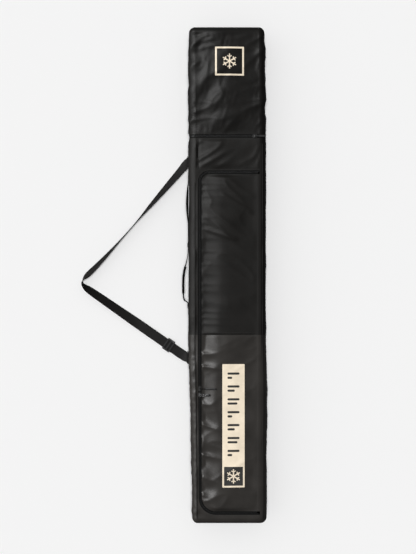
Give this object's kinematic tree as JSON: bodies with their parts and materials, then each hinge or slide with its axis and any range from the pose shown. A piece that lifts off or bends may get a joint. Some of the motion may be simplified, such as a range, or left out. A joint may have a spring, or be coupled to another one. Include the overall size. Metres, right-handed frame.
{
  "type": "padded double ski bag",
  "caption": "Long padded ski bag lying on its back, with a zip-open front flap, zip-open hood, side grab handle and adjustable webbing shoulder strap.",
  "frame": {"origin": "centre of the bag's back face, which it lies on", "axes": "+Y along the bag towards the hood, +Z out through the front panel, +X to the flap's hinge side"},
  "size_m": [0.7158, 1.9, 0.1438],
  "materials": {
    "padded_cloth": "matt woven polyester",
    "coated_cloth": "coated tarpaulin, low sheen",
    "hood_cloth": "thin nylon, slight sheen",
    "foam": "closed-cell foam",
    "lining": "plain nylon lining",
    "zipper_tape": "woven tape",
    "zipper_coil": "nylon coil",
    "slider_metal": "black enamel",
    "pull_cord": "matt",
    "label_print": "printed film",
    "webbing": "ribbed webbing",
    "buckle_plastic": "moulded, fine grain",
    "ring_metal": "black enamel"
  },
  "bodies": {
    "shell": {"back_foam": "foam", "back_panel": "coated_cloth", "base_cap": "coated_cloth", "base_foam": "foam", "body_lining": "lining", "front_bottom_strip": "coated_cloth", "front_left_strip": "coated_cloth", "front_lining": "lining", "front_top_foam": "foam", "front_top_strip": "padded_cloth", "handle_tabs": "webbing", "hood_zip_coil_body": "zipper_coil", "hood_zip_tape_body": "zipper_tape", "inner_tie_buckles": "buckle_plastic", "inner_tie_straps": "webbing", "left_foam": "foam", "left_side_lower": "coated_cloth", "left_side_upper": "padded_cloth", "main_zip_coil_frame": "zipper_coil", "main_zip_tape_frame": "zipper_tape", "right_foam": "foam", "right_side_lower": "coated_cloth", "right_side_upper": "padded_cloth", "side_webbing": "webbing", "strap_anchor_lower": "webbing", "strap_anchor_upper": "webbing", "webbing_bar_tacks": "webbing"},
    "flap": {"flap_upper_panel": "padded_cloth", "flap_lower_panel": "coated_cloth", "flap_foam": "foam", "flap_lining": "lining", "main_zip_tape_flap": "zipper_tape", "main_zip_coil_flap": "zipper_coil", "front_label": "label_print"},
    "slider_upper": {"main_slider_upper": "slider_metal"},
    "slider_lower": {"main_slider_lower": "slider_metal"},
    "pull_upper": {"main_pull_upper": "pull_cord"},
    "pull_lower": {"main_pull_lower": "pull_cord"},
    "hood": {"hood_end_cap": "hood_cloth", "hood_front": "hood_cloth", "hood_back": "hood_cloth", "hood_left_gusset": "hood_cloth", "hood_right_gusset": "hood_cloth", "hood_zip_tape_hood": "zipper_tape", "hood_zip_coil_hood": "zipper_coil", "hood_emblem": "label_print"},
    "hood_slider": {"hood_slider": "slider_metal"},
    "hood_pull": {"hood_pull": "pull_cord"},
    "handle": {"grab_handle": "webbing"},
    "strap": {"shoulder_strap_webbing": "webbing", "strap_return_layer": "webbing", "strap_end_folds": "webbing", "strap_ring_upper": "ring_metal", "strap_ring_lower": "ring_metal"},
    "buckle": {"strap_buckle": "buckle_plastic"}
  },
  "joints": [
    {"name": "front_flap_hinge", "type": "hinge", "parent": "shell", "child": "flap", "pos_m": [0.121, 0, 0.134], "axis": [0, 1, 0], "range_deg": [0, 170]},
    {"name": "upper_slider_travel", "type": "slide", "parent": "flap", "child": "slider_upper", "axis": [0, 1, 0], "range_m": [0, 0.775]},
    {"name": "lower_slider_travel", "type": "slide", "parent": "flap", "child": "slider_lower", "axis": [0, 1, 0], "range_m": [-0.375, 0]},
    {"name": "upper_pull_swing", "type": "hinge", "parent": "slider_upper", "child": "pull_upper", "pos_m": [-0.106, -0.433, 0.1404], "axis": [0, 1, 0], "range_deg": [-170, 0]},
    {"name": "lower_pull_swing", "type": "hinge", "parent": "slider_lower", "child": "pull_lower", "pos_m": [-0.106, -0.457, 0.1404], "axis": [0, 1, 0], "range_deg": [-170, 0]},
    {"name": "hood_swing", "type": "hinge", "parent": "shell", "child": "hood", "pos_m": [0.147, 0.531, 0.067], "axis": [0, 0, -1], "range_deg": [0, 90]},
    {"name": "hood_slider_travel", "type": "slide", "parent": "hood", "child": "hood_slider", "axis": [1, 0, 0], "range_m": [-0.205, 0]},
    {"name": "hood_pull_swing", "type": "hinge", "parent": "hood_slider", "child": "hood_pull", "pos_m": [0.104, 0.531, 0.1404], "axis": [0, 1, 0], "range_deg": [-170, 0]},
    {"name": "grab_handle_swing", "type": "hinge", "parent": "shell", "child": "handle", "pos_m": [-0.153, 0, 0.078], "axis": [0, 1, 0], "range_deg": [-60, 60]},
    {"name": "shoulder_strap_swing", "type": "hinge", "parent": "shell", "child": "strap", "pos_m": [-0.146, 0, 0.027], "axis": [0, 1, 0], "range_deg": [0, 70]},
    {"name": "strap_buckle_travel", "type": "slide", "parent": "strap", "child": "buckle", "axis": [-0.8211, 0.5708, 0], "range_m": [0, 0.07]}
  ]
}
